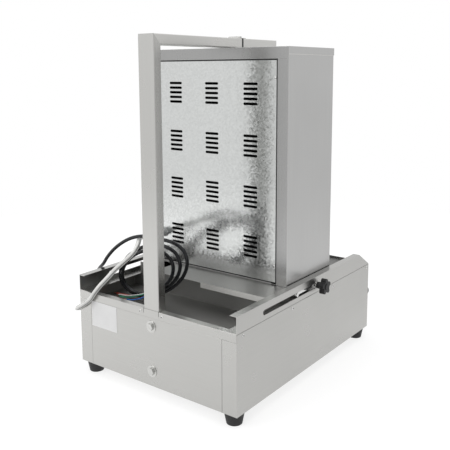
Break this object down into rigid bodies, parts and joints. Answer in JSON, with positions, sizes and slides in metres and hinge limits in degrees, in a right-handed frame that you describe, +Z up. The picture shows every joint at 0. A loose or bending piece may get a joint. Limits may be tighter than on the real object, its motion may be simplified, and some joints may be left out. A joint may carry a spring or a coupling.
{
  "type": "vertical kebab grill",
  "caption": "Free-standing electric vertical grill: a base box with slotted rails, a sliding heater cabinet with vents, a rear post with a hinged top arm, and a motor-driven upright spit.",
  "frame": {"origin": "on the floor, under the middle of the grill's outline without its cords", "axes": "+Z up, -Y to the operator's side with the spit and the knobs, +X to the operator's right"},
  "size_m": [0.6416, 0.724, 0.8992],
  "materials": {
    "brushed_case": "brushed stainless sheet",
    "brushed_tube": "brushed stainless tube",
    "well_sheet": "plain stainless sheet",
    "galvanised": "galvanised sheet with spangle",
    "bright_steel": "bright plated steel",
    "spit_steel": "polished stainless bar",
    "reflector_steel": "mirror-finish sheet",
    "inner_steel": "plain zinc-plated steel",
    "element_sheath": "heat-darkened sheath",
    "gear_brass": "machined",
    "motor_casing": "semi-gloss paint",
    "fibre_board": "dark mineral-fibre board",
    "foot_rubber": "matte",
    "knob_plastic": "fine-grained",
    "switch_plastic": "gloss",
    "rocker_plastic": "gloss",
    "gland_plastic": "matte",
    "cord_sheath": "matte rubber sheath",
    "conductor_sheath": "coloured conductor sheaths",
    "sleeve_fabric": "varnished glass-fibre sleeving",
    "plate_foil": "blank foil plate"
  },
  "bodies": {
    "base": {"base_floor": "brushed_case", "left_side_panel": "brushed_case", "right_side_panel": "brushed_case", "front_panel": "brushed_case", "back_panel": "brushed_case", "rear_rim": "brushed_case", "top_plate": "brushed_case", "well_tray": "well_sheet", "deck_plate": "well_sheet", "left_rail": "brushed_case", "right_rail": "brushed_case", "case_screws": "bright_steel", "rating_plate": "plate_foil", "rubber_feet": "foot_rubber", "foot_bolts": "bright_steel", "rear_post": "brushed_tube", "top_arm": "brushed_tube", "post_bolts": "bright_steel", "rear_hinge_leaf": "brushed_tube", "hinge_pin": "bright_steel", "drip_pan": "well_sheet", "spindle_bushes": "gear_brass", "gear_motor": "motor_casing", "motor_bracket": "inner_steel", "heat_regulators": "switch_plastic", "motor_switch": "switch_plastic", "cable_glands": "gland_plastic", "supply_cord": "cord_sheath", "cord_coil": "cord_sheath", "conductor_tails": "conductor_sheath", "heater_sleeve": "sleeve_fabric"},
    "cabinet": {"cabinet_left_side": "brushed_case", "cabinet_right_side": "brushed_case", "cabinet_lid": "brushed_case", "cabinet_bottom": "brushed_case", "vent_panel": "galvanised", "cabinet_screws": "bright_steel", "reflector": "reflector_steel", "insulation_board": "fibre_board", "heating_elements": "element_sheath", "element_brackets": "inner_steel", "guard_grille": "inner_steel", "runner_bars": "inner_steel", "cabinet_gland": "gland_plastic"},
    "front_arm": {"front_arm": "brushed_tube", "arm_end_cap": "brushed_tube", "front_hinge_leaf": "brushed_tube", "top_centre": "bright_steel"},
    "left_clamp": {"left_clamp_knob": "knob_plastic", "left_clamp_screw": "bright_steel"},
    "right_clamp": {"right_clamp_knob": "knob_plastic", "right_clamp_screw": "bright_steel"},
    "spit": {"spit_shaft": "spit_steel", "spit_disc": "spit_steel", "drive_spindle": "spit_steel", "drive_gear": "gear_brass"},
    "pinion": {"motor_pinion": "inner_steel"},
    "left_heat_knob": {"left_heat_knob": "knob_plastic"},
    "right_heat_knob": {"right_heat_knob": "knob_plastic"},
    "motor_rocker": {"motor_rocker": "rocker_plastic"}
  },
  "joints": [
    {"name": "cabinet_slide", "type": "slide", "parent": "base", "child": "cabinet", "axis": [0, 1, 0], "range_m": [0, 0.11], "deforming": ["heater_sleeve"]},
    {"name": "left_clamp_turn", "type": "hinge", "parent": "cabinet", "child": "left_clamp", "pos_m": [-0.26, -0.012, 0.2465], "axis": [-1, 0, 0], "range_deg": [0, 360]},
    {"name": "right_clamp_turn", "type": "hinge", "parent": "cabinet", "child": "right_clamp", "pos_m": [0.26, -0.012, 0.2465], "axis": [1, 0, 0], "range_deg": [0, 360]},
    {"name": "spit_spin", "type": "hinge", "parent": "base", "child": "spit", "pos_m": [0, -0.158, 0.3], "axis": [0, 0, 1], "continuous": true},
    {"name": "pinion_spin", "type": "hinge", "parent": "base", "child": "pinion", "pos_m": [0.0602, -0.158, 0.13], "axis": [0, 0, 1], "continuous": true},
    {"name": "arm_lift", "type": "hinge", "parent": "base", "child": "front_arm", "pos_m": [0, -0.002, 0.8962], "axis": [-1, 0, 0], "range_deg": [0, 110]},
    {"name": "left_heat_turn", "type": "hinge", "parent": "base", "child": "left_heat_knob", "pos_m": [-0.236, -0.33, 0.135], "axis": [0, 1, 0], "range_deg": [0, 270]},
    {"name": "right_heat_turn", "type": "hinge", "parent": "base", "child": "right_heat_knob", "pos_m": [0.236, -0.33, 0.135], "axis": [0, 1, 0], "range_deg": [0, 270]},
    {"name": "rocker_tip", "type": "hinge", "parent": "base", "child": "motor_rocker", "pos_m": [0, -0.329, 0.19], "axis": [-1, 0, 0], "range_deg": [0, 16]}
  ],
  "couplings": [
    {"joint": "pinion_spin", "follows": "spit_spin", "ratio": -4}
  ]
}
